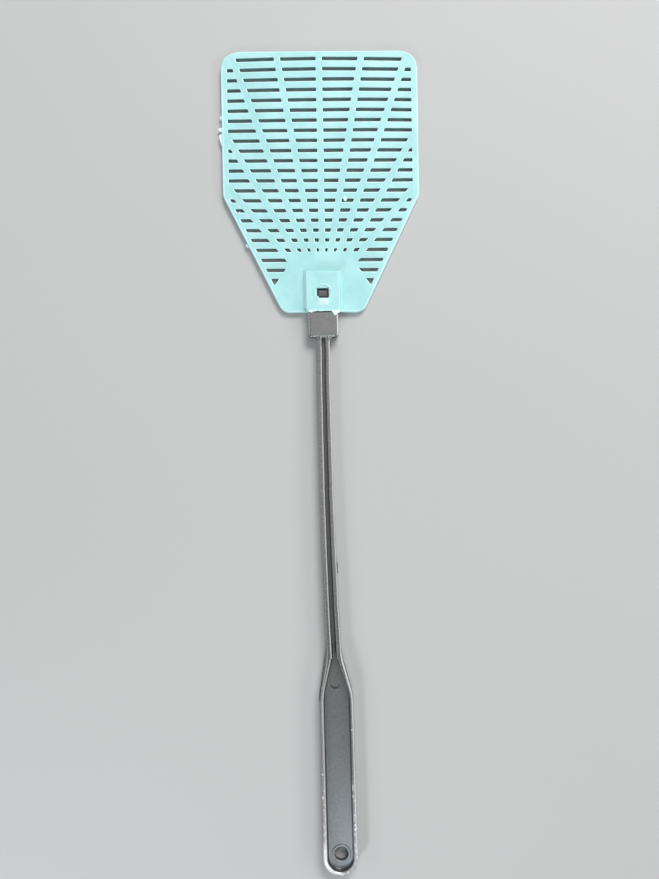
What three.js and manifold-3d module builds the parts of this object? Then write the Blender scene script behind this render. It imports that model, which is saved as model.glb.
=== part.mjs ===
// Fly swatter in two moulded pieces: a soft slotted head pushed onto a stiff one-piece handle.
// Millimetres. It lies on its back: +Y runs from grip to head, +Z out of the front face.
import * as THREE from "three";
import { mergeVertices, toCreasedNormals } from "three/addons/utils/BufferGeometryUtils.js";
import Module from "manifold-3d";

const wasm = await Module();
wasm.setup();

// Overall
const totalLength = 440;
const topY = totalLength / 2;
const gripEndY = -totalLength / 2;
const fitGap = 0.3;

// Head outline
const headHeight = 140.3;
const headWidth = 105;
const headMouthWidth = 43.2;
const shoulderHeight = 62.9;
const topCornerR = 10.6;
const shoulderR = 2;
const mouthCornerR = 4.3;
const borderWidth = 3.3;
const topBandWidth = 3.5;
const lowBorderThinning = 0.8;
const mouthY = topY - headHeight;

// Head slots: bars and the ribs that fan out from one point lie flush in one sheet
const sheetThickness = 2.1;
const slotPitch = 5.39;
const slotHeight = 1.9;
const barCount = 22;
const smallestSlot = 0.3;
const ribWidth = 3.35;
const ribStep = THREE.MathUtils.degToRad(9.8);
const ribsPerSide = 4;
const ribApexY = mouthY + 6.7;

// Solid apron at the foot of the fan
const apronTopY = mouthY + 31.9;
const apronTopHalf = 13.9;
const apronFootY = mouthY + 15.2;
const apronFootHalf = 25.3;

// Socket boss on the apron
const bossBaseWidth = 20.2;
const bossTopWidth = 18.2;
const bossLength = 22.3;
const bossEndSlope = 1.2;
const bossFootZ = 1.5;
const bossTopZ = 5.5;
const bossEdgeR = 0.7;
const windowWidth = 6.3;
const windowLength = 5.2;
const windowY = mouthY + 9.7;
const windowCornerR = 0.6;
const lipInnerR = 4.1;
const lipOuterR = 5.2;
const lipHeight = 0.25;
const catchWayDepth = 0.6;

// Tongue and catch of the handle, inside the socket
const tongueWidth = 13.4;
const tongueLength = 20;
const tongueThickness = 2;
const tongueBottomZ = 2;
const tongueTipChamfer = 1.5;
const catchWidth = 4.8;
const catchLength = 4;
const catchHeight = 0.6;
const catchRamp = 0.8;

// Collar
const collarWidth = 16;
const collarTopY = mouthY - fitGap;
const collarFootY = mouthY - 13.7;
const collarBottomZ = 0.7;
const collarTopZ = 5.4;
const collarCornerR = 2;
const collarEdgeR = 0.5;

// Stem: two ribs on a web, growing evenly from the collar to the flare
const stemEndWidth = 8;
const stemEndChannel = 2.6;
const stemStartScale = 0.8;
const stemStartBottomZ = 0.6;
const stemStartHeightScale = 0.75;
const ribEdgeR = 1.1;
const stemSteps = 16;
const neckWidth = 8.6;
const neckLength = 5.3;
const neckBridge = 2.2;

// Flare and grip
const gripHeight = 6.2;
const gripTopWidth = 17.6;
const gripEndWidth = 18.7;
const pocketWidth = 14.1;
const flareTopY = -103.6;
const flareFootY = -123.9;
const flareBend = 5;
const gripEdgeR = 0.6;
const webBottomZ = 1.5;
const webTopZ = 3.2;
const hangHoleR = 3.7;
const hangHoleX = 0.5;
const hangHoleY = gripEndY + 10.9;
const hangRingR = 4.9;
const hangRingHeight = 0.4;

// The handle bends a little to the right of the head's centre line, down its length.
const handleBend = [
  { y: collarFootY, x: 0 },
  { y: 35, x: -0.2 },
  { y: -20, x: 0.35 },
  { y: -70, x: 1.45 },
  { y: -95, x: 2.3 },
  { y: flareFootY, x: 3.5 },
  { y: gripEndY, x: 4.2 },
];

const weldDistance = 1e-4;
const straightTolerance = 1e-5;
const overshoot = 1;

// --- geometry helpers ---

function toSolid(geometry) {
  const bare = geometry.index ? geometry.toNonIndexed() : geometry.clone();
  bare.deleteAttribute("normal");
  bare.deleteAttribute("uv");
  const merged = mergeVertices(bare, weldDistance);
  return new wasm.Manifold(
    new wasm.Mesh({
      numProp: 3,
      vertProperties: merged.attributes.position.array,
      triVerts: new Uint32Array(merged.index.array),
    }),
  );
}

function toGeometry(solid) {
  const { vertProperties, triVerts } = solid.getMesh();
  const geometry = new THREE.BufferGeometry();
  geometry.setAttribute("position", new THREE.BufferAttribute(vertProperties, 3));
  return geometry.setIndex(new THREE.BufferAttribute(triVerts, 1));
}

function toMesh(name, geometry, material) {
  const mesh = new THREE.Mesh(toCreasedNormals(geometry, Math.PI / 6), material);
  mesh.name = name;
  return mesh;
}

// A plan outline raised from one height to another, with optional rounded edges.
function raise(shape, bottomZ, topZ, edgeR = 0) {
  const geometry = new THREE.ExtrudeGeometry(shape, {
    depth: topZ - bottomZ - 2 * edgeR,
    bevelEnabled: edgeR > 0,
    bevelThickness: edgeR,
    bevelSize: edgeR,
    bevelOffset: -edgeR,
    bevelSegments: 2,
  });
  return geometry.translate(0, 0, bottomZ + edgeR);
}

// An X-Z section run from startY towards -Y.
function runAlongY(section, startY, length, steps = 1) {
  const settings = { depth: length, steps, bevelEnabled: false };
  const geometry = new THREE.ExtrudeGeometry(section, settings);
  return geometry.rotateX(Math.PI / 2).translate(0, startY, 0);
}

// A Y-Z profile run across X, centred on x = 0.
function runAcrossX(profile, width) {
  const geometry = new THREE.ExtrudeGeometry(profile, { depth: width, bevelEnabled: false });
  geometry.translate(0, 0, -width / 2);
  const turn = new THREE.Matrix4().makeBasis(
    new THREE.Vector3(0, 1, 0),
    new THREE.Vector3(0, 0, 1),
    new THREE.Vector3(1, 0, 0),
  );
  return geometry.applyMatrix4(turn);
}

function block(width, lowY, highY, lowZ, highZ) {
  return new THREE.BoxGeometry(width, highY - lowY, highZ - lowZ).translate(
    0,
    (lowY + highY) / 2,
    (lowZ + highZ) / 2,
  );
}

function disc(radius, centreX, centreY, lowZ, highZ) {
  return new THREE.CylinderGeometry(radius, radius, highZ - lowZ, 40)
    .rotateX(Math.PI / 2)
    .translate(centreX, centreY, (lowZ + highZ) / 2);
}

// Drops points that lie on the straight line between their neighbours.
function cornersOnly(points) {
  return points.filter((point, i) => {
    const before = points.at(i - 1).clone().sub(point).normalize();
    const after = points[(i + 1) % points.length].clone().sub(point).normalize();
    return Math.abs(before.cross(after)) > straightTolerance;
  });
}

// Mirrors the right half of an outline, listed from top to bottom, into a whole shape.
function mirrored(rightHalf) {
  const left = rightHalf
    .filter((point) => point.x > 0)
    .map((point) => new THREE.Vector2(-point.x, point.y));
  return new THREE.Shape(cornersOnly([...rightHalf.toReversed(), ...left]));
}

// A path through corner points, each corner rounded by a curve that starts `cut` before it.
function roundedPath(corners, divisions = 6) {
  const path = new THREE.Path();
  corners.forEach(({ x, y, cut = 0 }, i) => {
    const corner = new THREE.Vector2(x, y);
    if (i === 0) {
      path.moveTo(x, y);
      return;
    }
    if (cut === 0) {
      path.lineTo(x, y);
      return;
    }
    const before = new THREE.Vector2(corners[i - 1].x, corners[i - 1].y);
    const after = new THREE.Vector2(corners[i + 1].x, corners[i + 1].y);
    const start = before.sub(corner).setLength(cut).add(corner);
    const end = after.sub(corner).setLength(cut).add(corner);
    path.lineTo(start.x, start.y);
    path.quadraticCurveTo(x, y, end.x, end.y);
  });
  return path.getPoints(divisions);
}

// Keeps the part of a convex polygon where normal . point >= offset.
function clip(polygon, normal, offset) {
  const kept = [];
  polygon.forEach((here, i) => {
    const next = polygon[(i + 1) % polygon.length];
    const a = normal.dot(here) - offset;
    const b = normal.dot(next) - offset;
    if (a >= 0) kept.push(here);
    if (a * b < 0) kept.push(here.clone().lerp(next, a / (a - b)));
  });
  return kept;
}

// --- head ---

// The head's outline, or the edge of its border when inset.
function headOutline(inset, footSpread = 0) {
  const half = headWidth / 2;
  const slope = (half - headMouthWidth / 2) / shoulderHeight;
  const slant = Math.hypot(1, slope);
  const footHalf = headMouthWidth / 2 - inset * (slant - slope) + footSpread;
  const shoulderY = mouthY + shoulderHeight - (inset * (slant - 1)) / slope;
  const round = (radius) => Math.max(radius - inset, 0.3);
  return roundedPath([
    { x: 0, y: topY - inset },
    { x: half - inset, y: topY - inset, cut: round(topCornerR) },
    { x: half - inset, y: shoulderY, cut: round(shoulderR) },
    { x: footHalf, y: mouthY + inset, cut: round(mouthCornerR) },
    { x: 0, y: mouthY + inset },
  ]);
}

// The openings between neighbouring ribs, from the apron out to the border.
function ribGaps() {
  const inner = mirrored(headOutline(borderWidth, lowBorderThinning)).getPoints();
  const apex = new THREE.Vector2(0, ribApexY);
  const apronSlope = new THREE.Vector2(apronTopY - apronFootY, apronFootHalf - apronTopHalf);
  apronSlope.normalize();
  const apronEdge = apronSlope.dot(new THREE.Vector2(apronTopHalf, apronTopY));
  const gaps = [];
  for (let i = 0; i <= ribsPerSide; i++) {
    const rib = i * ribStep;
    const nextRib = rib + ribStep;
    const outward = new THREE.Vector2(Math.cos(rib), -Math.sin(rib));
    const inward = new THREE.Vector2(-Math.cos(nextRib), Math.sin(nextRib));
    let gap = clip(inner, outward, outward.dot(apex) + ribWidth / 2);
    if (i < ribsPerSide) gap = clip(gap, inward, inward.dot(apex) + ribWidth / 2);
    if (i < ribsPerSide - 1) gap = clip(gap, new THREE.Vector2(0, 1), apronTopY);
    else gap = clip(gap, apronSlope, apronEdge);
    gaps.push(gap, gap.map((point) => new THREE.Vector2(-point.x, point.y)));
  }
  return gaps;
}

// The rows of slots that the bars leave open between the ribs; the last row has no bar below it.
function slots() {
  const cutters = [];
  ribGaps().forEach((gap) => {
    for (let row = 0; row <= barCount; row++) {
      const top = topY - topBandWidth - row * slotPitch;
      const foot = row < barCount ? top - slotHeight : mouthY;
      const below = clip(gap, new THREE.Vector2(0, -1), -top);
      const slot = clip(below, new THREE.Vector2(0, 1), foot);
      if (slot.length < 3 || Math.abs(THREE.ShapeUtils.area(slot)) < smallestSlot) continue;
      const shape = new THREE.Shape(cornersOnly(slot));
      cutters.push(toSolid(raise(shape, -overshoot, sheetThickness + overshoot)));
    }
  });
  return wasm.Manifold.union(cutters);
}

function sheet() {
  const outline = mirrored(headOutline(0));
  return toSolid(raise(outline, 0, sheetThickness)).subtract(slots());
}

function socketBoss() {
  const across = mirrored(
    roundedPath([
      { x: 0, y: bossTopZ },
      { x: bossTopWidth / 2, y: bossTopZ, cut: bossEdgeR },
      { x: bossBaseWidth / 2, y: bossFootZ },
      { x: 0, y: bossFootZ },
    ]),
  );
  const endY = mouthY + bossLength;
  const along = new THREE.Shape([
    new THREE.Vector2(mouthY, bossFootZ),
    new THREE.Vector2(endY, bossFootZ),
    new THREE.Vector2(endY - bossEndSlope, bossTopZ),
    new THREE.Vector2(mouthY, bossTopZ),
  ]);
  return toSolid(runAlongY(across, endY + overshoot, bossLength + overshoot)).intersect(
    toSolid(runAcrossX(along, bossBaseWidth + overshoot)),
  );
}

function windowShape() {
  const half = windowWidth / 2;
  return mirrored(
    roundedPath([
      { x: 0, y: windowY + windowLength / 2 },
      { x: half, y: windowY + windowLength / 2, cut: windowCornerR },
      { x: half, y: windowY - windowLength / 2, cut: windowCornerR },
      { x: 0, y: windowY - windowLength / 2 },
    ], 3),
  );
}

// The socket that takes the tongue, the window over the catch and the catch's way out.
function socketCut() {
  const lowZ = tongueBottomZ - fitGap;
  const highZ = tongueBottomZ + tongueThickness + fitGap;
  const cavity = toSolid(
    block(
      tongueWidth + 2 * fitGap,
      mouthY - overshoot,
      mouthY + tongueLength + fitGap,
      lowZ,
      highZ,
    ),
  );
  const way = toSolid(
    block(windowWidth, mouthY - overshoot, windowY, highZ - fitGap, highZ + catchWayDepth),
  );
  const window = toSolid(raise(windowShape(), highZ - fitGap, bossTopZ + overshoot));
  return cavity.add(way).add(window);
}

function windowLip() {
  const foot = bossTopZ - catchWayDepth / 2;
  const top = bossTopZ + lipHeight;
  return toSolid(disc(lipOuterR, 0, windowY, foot, top)).subtract(
    toSolid(disc(lipInnerR, 0, windowY, bossTopZ, top + overshoot)),
  );
}

function head() {
  return sheet().add(socketBoss()).add(windowLip()).subtract(socketCut());
}

// --- handle ---

function tongue() {
  const half = tongueWidth / 2;
  const tipY = mouthY + tongueLength;
  const outline = mirrored([
    new THREE.Vector2(half - tongueTipChamfer, tipY),
    new THREE.Vector2(half, tipY - tongueTipChamfer),
    new THREE.Vector2(half, collarTopY - overshoot),
  ]);
  return toSolid(raise(outline, tongueBottomZ, tongueBottomZ + tongueThickness));
}

// A square catch with a ramp towards the tongue's tip.
function windowCatch() {
  const footZ = tongueBottomZ + tongueThickness / 2;
  const topZ = tongueBottomZ + tongueThickness + catchHeight;
  const lowY = windowY - catchLength / 2;
  const highY = windowY + catchLength / 2;
  const profile = new THREE.Shape([
    new THREE.Vector2(lowY, footZ),
    new THREE.Vector2(highY, footZ),
    new THREE.Vector2(highY, topZ - catchHeight),
    new THREE.Vector2(highY - catchRamp, topZ),
    new THREE.Vector2(lowY, topZ),
  ]);
  return toSolid(runAcrossX(profile, catchWidth));
}

function collar() {
  const outline = mirrored(
    roundedPath([
      { x: 0, y: collarTopY },
      { x: collarWidth / 2, y: collarTopY },
      { x: collarWidth / 2, y: collarFootY, cut: collarCornerR },
      { x: 0, y: collarFootY },
    ]),
  );
  return toSolid(raise(outline, collarBottomZ, collarTopZ, collarEdgeR));
}

// Half of the stem's H section at the flare, listed from the front channel to the back one.
function stemSection() {
  const rib = stemEndWidth / 2;
  const channel = stemEndChannel / 2;
  return mirrored(
    roundedPath([
      { x: 0, y: webTopZ },
      { x: channel, y: webTopZ },
      { x: channel, y: gripHeight, cut: ribEdgeR },
      { x: rib, y: gripHeight, cut: ribEdgeR },
      { x: rib, y: 0, cut: ribEdgeR },
      { x: channel, y: 0, cut: ribEdgeR },
      { x: channel, y: webBottomZ },
      { x: 0, y: webBottomZ },
    ], 3),
  );
}

function stem() {
  const startY = collarFootY + overshoot;
  const endY = flareTopY - overshoot;
  const geometry = runAlongY(stemSection(), startY, startY - endY, stemSteps);
  const position = geometry.attributes.position;
  for (let i = 0; i < position.count; i++) {
    const share = (position.getY(i) - endY) / (startY - endY);
    const across = THREE.MathUtils.lerp(1, stemStartScale, share);
    const tall = THREE.MathUtils.lerp(1, stemStartHeightScale, share);
    position.setX(i, position.getX(i) * across);
    position.setZ(i, position.getZ(i) * tall + stemStartBottomZ * share);
  }
  return toSolid(geometry);
}

// Gussets that widen the stem where it meets the collar, with the channel left open.
function neck() {
  const stemHalf = (stemEndWidth * stemStartScale) / 2;
  const channel = stemEndChannel * stemStartScale;
  const startTopZ = gripHeight * stemStartHeightScale + stemStartBottomZ;
  const footY = collarFootY - neckLength;
  const outline = mirrored(
    roundedPath([
      { x: neckWidth / 2, y: collarFootY + overshoot },
      { x: neckWidth / 2, y: collarFootY },
      { x: stemHalf, y: collarFootY - neckLength / 3, cut: neckLength / 4 },
      { x: stemHalf - 0.1, y: footY },
    ], 4),
  );
  const body = toSolid(raise(outline, collarBottomZ, startTopZ - 0.2));
  const way = toSolid(
    block(channel, footY - overshoot, collarFootY - neckBridge, stemStartBottomZ - overshoot, gripHeight),
  );
  return body.subtract(way);
}

// The flare and grip in plan, or the pocket inside the rim, from three widths along it.
function gripOutline(startWidth, topWidth, endWidth, startY) {
  const arcY = gripEndY + gripEndWidth / 2;
  const side = roundedPath([
    { x: startWidth / 2, y: startY },
    { x: startWidth / 2, y: flareTopY, cut: flareBend },
    { x: topWidth / 2, y: flareFootY, cut: flareBend },
    { x: endWidth / 2, y: arcY },
  ]);
  const arc = new THREE.Path().absarc(0, arcY, endWidth / 2, 0, -Math.PI / 2, true);
  return mirrored([...side, ...arc.getPoints(12).slice(1)]);
}

function grip() {
  const startY = flareTopY + flareBend + 2 * overshoot;
  const body = gripOutline(stemEndWidth, gripTopWidth, gripEndWidth, startY);
  const pocket = gripOutline(stemEndChannel, pocketWidth, pocketWidth, startY + overshoot);
  const ringTopZ = webTopZ + hangRingHeight;
  return toSolid(raise(body, 0, gripHeight, gripEdgeR))
    .subtract(toSolid(raise(pocket, webTopZ, gripHeight + overshoot)))
    .subtract(toSolid(raise(pocket, -overshoot, webBottomZ)))
    .add(toSolid(disc(hangRingR, hangHoleX, hangHoleY, webBottomZ, ringTopZ)))
    .subtract(toSolid(disc(hangHoleR, hangHoleX, hangHoleY, -overshoot, gripHeight)));
}

function bendAt(y) {
  if (y >= handleBend[0].y) return handleBend[0].x;
  const i = handleBend.findIndex((station) => station.y <= y);
  const [above, below] = [handleBend[i - 1], handleBend[i]];
  return THREE.MathUtils.mapLinear(y, above.y, below.y, above.x, below.x);
}

// Moves each point sideways along the handle's bend, which starts at the collar's foot.
function bend(geometry) {
  const position = geometry.attributes.position;
  for (let i = 0; i < position.count; i++) {
    const y = Math.max(position.getY(i), gripEndY);
    position.setX(i, position.getX(i) + bendAt(y));
  }
  return geometry;
}

function handle() {
  const lower = stem().add(neck()).add(grip());
  return tongue().add(windowCatch()).add(collar()).add(lower);
}

// --- assembly ---

const turquoise = new THREE.MeshStandardMaterial({
  color: 0x7fd0d2,
  roughness: 0.5,
  metalness: 0,
});
const black = new THREE.MeshStandardMaterial({ color: 0x26282a, roughness: 0.42, metalness: 0 });

const swatter = new THREE.Group();
swatter.name = "fly_swatter";
swatter.add(toMesh("head", toGeometry(head()), turquoise));
swatter.add(toMesh("handle", bend(toGeometry(handle())), black));

export default swatter;
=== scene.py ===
"""Fly swatter: the finished look of the two moulded pieces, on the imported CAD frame."""
import math

import bmesh
import bpy
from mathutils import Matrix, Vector, noise


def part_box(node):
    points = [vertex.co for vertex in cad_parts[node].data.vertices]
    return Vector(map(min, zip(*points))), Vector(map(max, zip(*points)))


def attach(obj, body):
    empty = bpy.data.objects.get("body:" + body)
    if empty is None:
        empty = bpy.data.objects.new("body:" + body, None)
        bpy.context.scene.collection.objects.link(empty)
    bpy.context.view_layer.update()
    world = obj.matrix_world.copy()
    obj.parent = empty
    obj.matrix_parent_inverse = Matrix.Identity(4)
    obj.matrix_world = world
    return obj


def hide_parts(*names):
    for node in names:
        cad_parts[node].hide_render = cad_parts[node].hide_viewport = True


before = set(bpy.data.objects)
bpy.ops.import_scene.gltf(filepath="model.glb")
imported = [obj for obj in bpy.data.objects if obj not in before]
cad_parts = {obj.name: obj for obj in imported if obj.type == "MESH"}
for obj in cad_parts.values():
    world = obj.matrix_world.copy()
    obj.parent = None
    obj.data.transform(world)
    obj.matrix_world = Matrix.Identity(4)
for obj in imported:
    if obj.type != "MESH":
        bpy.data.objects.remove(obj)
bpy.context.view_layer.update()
noise.seed_set(11)

# ---------------------------------------------------------------- sizes, in millimetres

MM = 0.001

# How solids are made: the angle at which an edge looks sharp, the distance in metres at which
# points merge, how far a cutter goes past the surface, and the corners of a circle.
CREASE = math.radians(35)
WELD = 2e-6
CUT_PAST = 1.0
CIRCLE_POINTS = 64

# Read from the frame.
head_low, head_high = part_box("head")
handle_low, handle_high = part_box("handle")
TOP_Y = head_high.y / MM
MOUTH_Y = head_low.y / MM
HEAD_HALF = head_high.x / MM
GRIP_END_Y = handle_low.y / MM
GRIP_TOP_Z = handle_high.z / MM

# The head: its outline, border, slots, fan of ribs and apron.
MOUTH_HALF = 21.6
SHOULDER = 62.9
BORDER, TOP_BAND, LOW_THINNING = 3.3, 3.5, 0.8
TOP_CORNER, SHOULDER_CORNER, MOUTH_CORNER = 10.6, 2.0, 4.3
SHEET_Z = 2.1
SLOT_PITCH, SLOT_HEIGHT, SMALLEST_SLOT, BAR_COUNT = 5.39, 1.9, 0.3, 22
SLOT_CORNER = 0.45
RIB_WIDTH, RIB_STEP, RIBS_PER_SIDE = 3.35, math.radians(9.8), 4
RIB_APEX_Y = MOUTH_Y + 6.7
APRON_TOP = (13.9, MOUTH_Y + 31.9)
APRON_FOOT = (25.3, MOUTH_Y + 15.2)

# The socket's boss, its window and the lip round that.
HEAD_TOP_Z = 5.5
BOSS_HALF, BOSS_TOP_HALF, BOSS_LENGTH, BOSS_EDGE_R = 10.1, 9.1, 22.3, 0.8
WINDOW_Y, WINDOW_HALF, WINDOW_HALF_LENGTH = MOUTH_Y + 9.7, 3.15, 2.6
LIP_INNER, LIP_OUTER, LIP_Z = 3.8, 5.1, 5.75
FIT_GAP = 0.3

# The head's unevenness: how far edges drift and ripple and over what span, the bow and tilt of the
# rows, and the sag of both sides towards the far end, which grows from one place over a ramp.
DRIFT, DRIFT_SPAN = 0.15, 34
RIPPLE_X, RIPPLE_Y, RIPPLE_SPAN = 0.06, 0.08, 7
ROW_BOW, ROW_BOW_LENGTH, ROW_TILT = 0.55, 104, 0.010
SAG, SAG_HALF, SAG_START_Y, SAG_RAMP = 0.62, 47, 150, 60
STIFF_LENGTH, STIFF_RAMP = 24, 20

# The scrap of plastic left in a slot.
SCRAP = (12.9, 140.4, 1.5)

# The tongue and its catch, the collar and the gussets below it.
TONGUE_HALF, TONGUE_LENGTH, TONGUE_LOW, TONGUE_HIGH = 6.7, 20.0, 2.0, 4.0
CATCH_HALF, CATCH_HALF_LENGTH, CATCH_TOP, CATCH_RAMP = 2.4, 2.0, 4.6, 0.8

COLLAR_HALF, COLLAR_LOW, COLLAR_HIGH, COLLAR_CORNER = 8.0, 0.7, 5.4, 2.4
COLLAR_TOP_Y, COLLAR_FOOT_Y = MOUTH_Y - FIT_GAP, MOUTH_Y - 13.7
NECK_HALF, NECK_LENGTH = 4.3, 5.3

# The stem, which is smaller and lower at the collar than at the flare.
STEM_HALF, STEM_CHANNEL = 4.0, 1.3
STEM_START_SCALE, STEM_START_LOW, STEM_START_HEIGHT = 0.8, 0.6, 0.75
STEM_STATIONS, STEM_SWAY, STEM_SWAY_SPAN = 40, 0.12, 23
WEB_LOW, WEB_HIGH = 1.5, 3.2

# The flare, the grip, its hanging hole and the gate mark at its top.
FLARE_TOP_Y, FLARE_FOOT_Y, FLARE_BEND = -103.6, -123.9, 5.0
GRIP_TOP_HALF, GRIP_END_HALF, POCKET_HALF = 8.8, 9.35, 7.05
HOLE_R, HOLE_X, HOLE_Y = 3.7, 0.5, GRIP_END_Y + 10.9
RING_R, RING_Z = 4.9, 3.6
CRESCENT, CRESCENT_R = (-0.6, -118.8), 2.6
GATE_MARK = (2.6, -119.8, WEB_HIGH - 0.3)

# How far the handle's centre line stands right of the head's: (y, x) down its length.
BEND = [
    (COLLAR_FOOT_Y, 0.0), (35, -0.2), (-20, 0.35), (-70, 1.45), (-95, 2.3), (FLARE_FOOT_Y, 3.5),
    (GRIP_END_Y, 4.2),
]


# ---------------------------------------------------------------- outlines

def rounded_path(corners, divisions=10):
    """Corner points (x, y, cut), each rounded by a curve that starts `cut` before it."""
    points = []
    for i, (x, y, cut) in enumerate(corners):
        corner = Vector((x, y))
        if not cut:
            points.append(corner)
            continue
        before = Vector(corners[i - 1][:2]) - corner
        after = Vector(corners[(i + 1) % len(corners)][:2]) - corner
        start = corner + before.normalized() * cut
        end = corner + after.normalized() * cut
        for k in range(divisions + 1):
            t = k / divisions
            points.append(start * (1 - t) ** 2 + corner * 2 * t * (1 - t) + end * t * t)
    return points


def corners_only(points):
    """Drops repeated points and points on the straight line between their neighbours."""
    distinct = [p for i, p in enumerate(points) if (p - points[i - 1]).length > 1e-4]
    kept = []
    for i, point in enumerate(distinct):
        before = (distinct[i - 1] - point).normalized()
        after = (distinct[(i + 1) % len(distinct)] - point).normalized()
        if abs(before.cross(after)) > 1e-5:
            kept.append(point)
    return kept


def mirrored(right_half):
    """A whole outline, counter-clockwise, from its right half listed from top to bottom."""
    left = [Vector((-p.x, p.y)) for p in right_half if p.x > 1e-6]
    return corners_only(list(reversed(right_half)) + left)


def clip(polygon, normal, limit):
    """The part of a convex polygon where normal . point >= limit."""
    kept = []
    for i, here in enumerate(polygon):
        after = polygon[(i + 1) % len(polygon)]
        a, b = normal.dot(here) - limit, normal.dot(after) - limit
        if a >= 0:
            kept.append(here)
        if a * b < 0:
            kept.append(here.lerp(after, a / (a - b)))
    return kept


def grown(outline, distance):
    """A counter-clockwise outline with each side moved outwards by distance."""
    moved = []
    for i, point in enumerate(outline):
        before = (point - outline[i - 1]).normalized()
        after = (outline[(i + 1) % len(outline)] - point).normalized()
        normals = Vector((before.y, -before.x)), Vector((after.y, -after.x))
        reach = distance / max(1 + normals[0].dot(normals[1]), 0.4)
        moved.append(point + (normals[0] + normals[1]) * reach)
    return moved


def box_outline(half, low_y, high_y):
    return [
        Vector((-half, low_y)),
        Vector((half, low_y)),
        Vector((half, high_y)),
        Vector((-half, high_y)),
    ]


def circle(radius, centre_x, centre_y):
    turns = [2 * math.pi * k / CIRCLE_POINTS for k in range(CIRCLE_POINTS)]
    return [Vector((centre_x + radius * math.cos(a), centre_y + radius * math.sin(a))) for a in turns]


# ---------------------------------------------------------------- solids

def mesh_from(bm, name="solid"):
    mesh = bpy.data.meshes.new(name)
    bm.to_mesh(mesh)
    bm.free()
    return mesh


def skin(loops):
    """A closed solid through loops of points with equal counts, capped at both ends."""
    bm = bmesh.new()
    rings = [[bm.verts.new(Vector(p) * MM) for p in loop] for loop in loops]
    for lower, upper in zip(rings, rings[1:]):
        for i in range(len(lower)):
            bm.faces.new((lower[i - 1], lower[i], upper[i], upper[i - 1]))
    bm.faces.new(rings[0])
    bm.faces.new(rings[-1])
    bmesh.ops.recalc_face_normals(bm, faces=bm.faces)
    return mesh_from(bm)


def loft(outline, levels):
    """An outline raised through levels of (distance grown, height)."""
    return skin([[(p.x, p.y, z) for p in grown(outline, d)] for d, z in levels])


def round_edges(low, high, r_low, r_high, steps=4, drop=None):
    """Levels for a plate with rounded edges; the top edge falls by drop where that is given."""
    quarter = [math.pi / 2 * k / steps for k in range(steps + 1)]
    fall = r_high if drop is None else drop
    foot = [(-r_low * (1 - math.sin(a)), low + r_low * (1 - math.cos(a))) for a in quarter]
    head = [(-r_high * (1 - math.cos(a)), high - fall * (1 - math.sin(a))) for a in quarter]
    return (foot if r_low else [(0, low)]) + (head if r_high else [(0, high)])


def flared(low, high, r_low, r_high, steps=4, drop=None):
    """Levels for a cutter that leaves rounded edges round the opening it cuts."""
    quarter = [math.pi / 2 * k / steps for k in range(steps + 1)]
    fall = r_high if drop is None else drop
    foot = [(r_low * (1 - math.sin(a)), low + r_low * (1 - math.cos(a))) for a in quarter]
    head = [(r_high * (1 - math.cos(a)), high - fall * (1 - math.sin(a))) for a in quarter]
    start = [(r_low, low - CUT_PAST)] + foot if r_low else [(0, low - CUT_PAST)]
    end = head + [(r_high, high + CUT_PAST)] if r_high else [(0, high + CUT_PAST)]
    return start + end


def together(meshes):
    """Several separate solids in one mesh."""
    bm = bmesh.new()
    for mesh in meshes:
        bm.from_mesh(mesh)
    return mesh_from(bm)


def combine(mesh, other, operation):
    """UNION, DIFFERENCE or INTERSECT of two closed meshes."""
    base = bpy.data.objects.new("base", mesh)
    tool = bpy.data.objects.new("tool", other)
    for ob in (base, tool):
        bpy.context.scene.collection.objects.link(ob)
    modifier = base.modifiers.new("combine", "BOOLEAN")
    modifier.operation = operation
    modifier.solver = "MANIFOLD"
    modifier.object = tool
    evaluated = base.evaluated_get(bpy.context.evaluated_depsgraph_get())
    result = bpy.data.meshes.new_from_object(evaluated)
    for ob in (base, tool):
        bpy.data.objects.remove(ob)
    return result


def joined(first, *others):
    for other in others:
        first = combine(first, other, "UNION")
    return first


def cut(first, *others):
    for other in others:
        first = combine(first, other, "DIFFERENCE")
    return first


def moved(mesh, change):
    """The mesh with each point, in millimetres, sent through change."""
    for vertex in mesh.vertices:
        vertex.co = Vector(change(*(vertex.co / MM))) * MM
    return mesh


def piece(name, mesh, body, node, material):
    """A finished object that rides on a body and stands for a CAD node."""
    bm = bmesh.new()
    bm.from_mesh(mesh)
    bmesh.ops.remove_doubles(bm, verts=bm.verts, dist=WELD)
    bmesh.ops.dissolve_degenerate(bm, edges=bm.edges, dist=WELD)
    bmesh.ops.recalc_face_normals(bm, faces=bm.faces)
    for face in bm.faces:
        face.smooth = True
    for edge in bm.edges:
        edge.smooth = edge.is_manifold and edge.calc_face_angle(0) < CREASE
    final = mesh_from(bm, name)
    final.materials.clear()
    final.materials.append(material)
    ob = bpy.data.objects.new(name, final)
    bpy.context.scene.collection.objects.link(ob)
    weighted = ob.modifiers.new("weighted", "WEIGHTED_NORMAL")
    weighted.keep_sharp = True
    weighted.weight = 80
    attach(ob, body)
    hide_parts(node)
    return ob


# ---------------------------------------------------------------- head

def head_outline(inset, foot_spread=0):
    """The head's edge, or the inner edge of its border when inset, with its foot spread."""
    slope = (HEAD_HALF - MOUTH_HALF) / SHOULDER
    slant = math.hypot(1, slope)
    foot = MOUTH_HALF - inset * (slant - slope) + foot_spread
    shoulder = MOUTH_Y + SHOULDER - inset * (slant - 1) / slope
    side = HEAD_HALF - inset
    return mirrored(rounded_path([
        (0, TOP_Y - inset, 0),
        (side, TOP_Y - inset, max(TOP_CORNER - inset, 0.3)),
        (side, shoulder, max(SHOULDER_CORNER - inset, 0.3)),
        (foot, MOUTH_Y + inset, max(MOUTH_CORNER - inset, 0.3)),
        (0, MOUTH_Y + inset, 0),
    ]))


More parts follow.
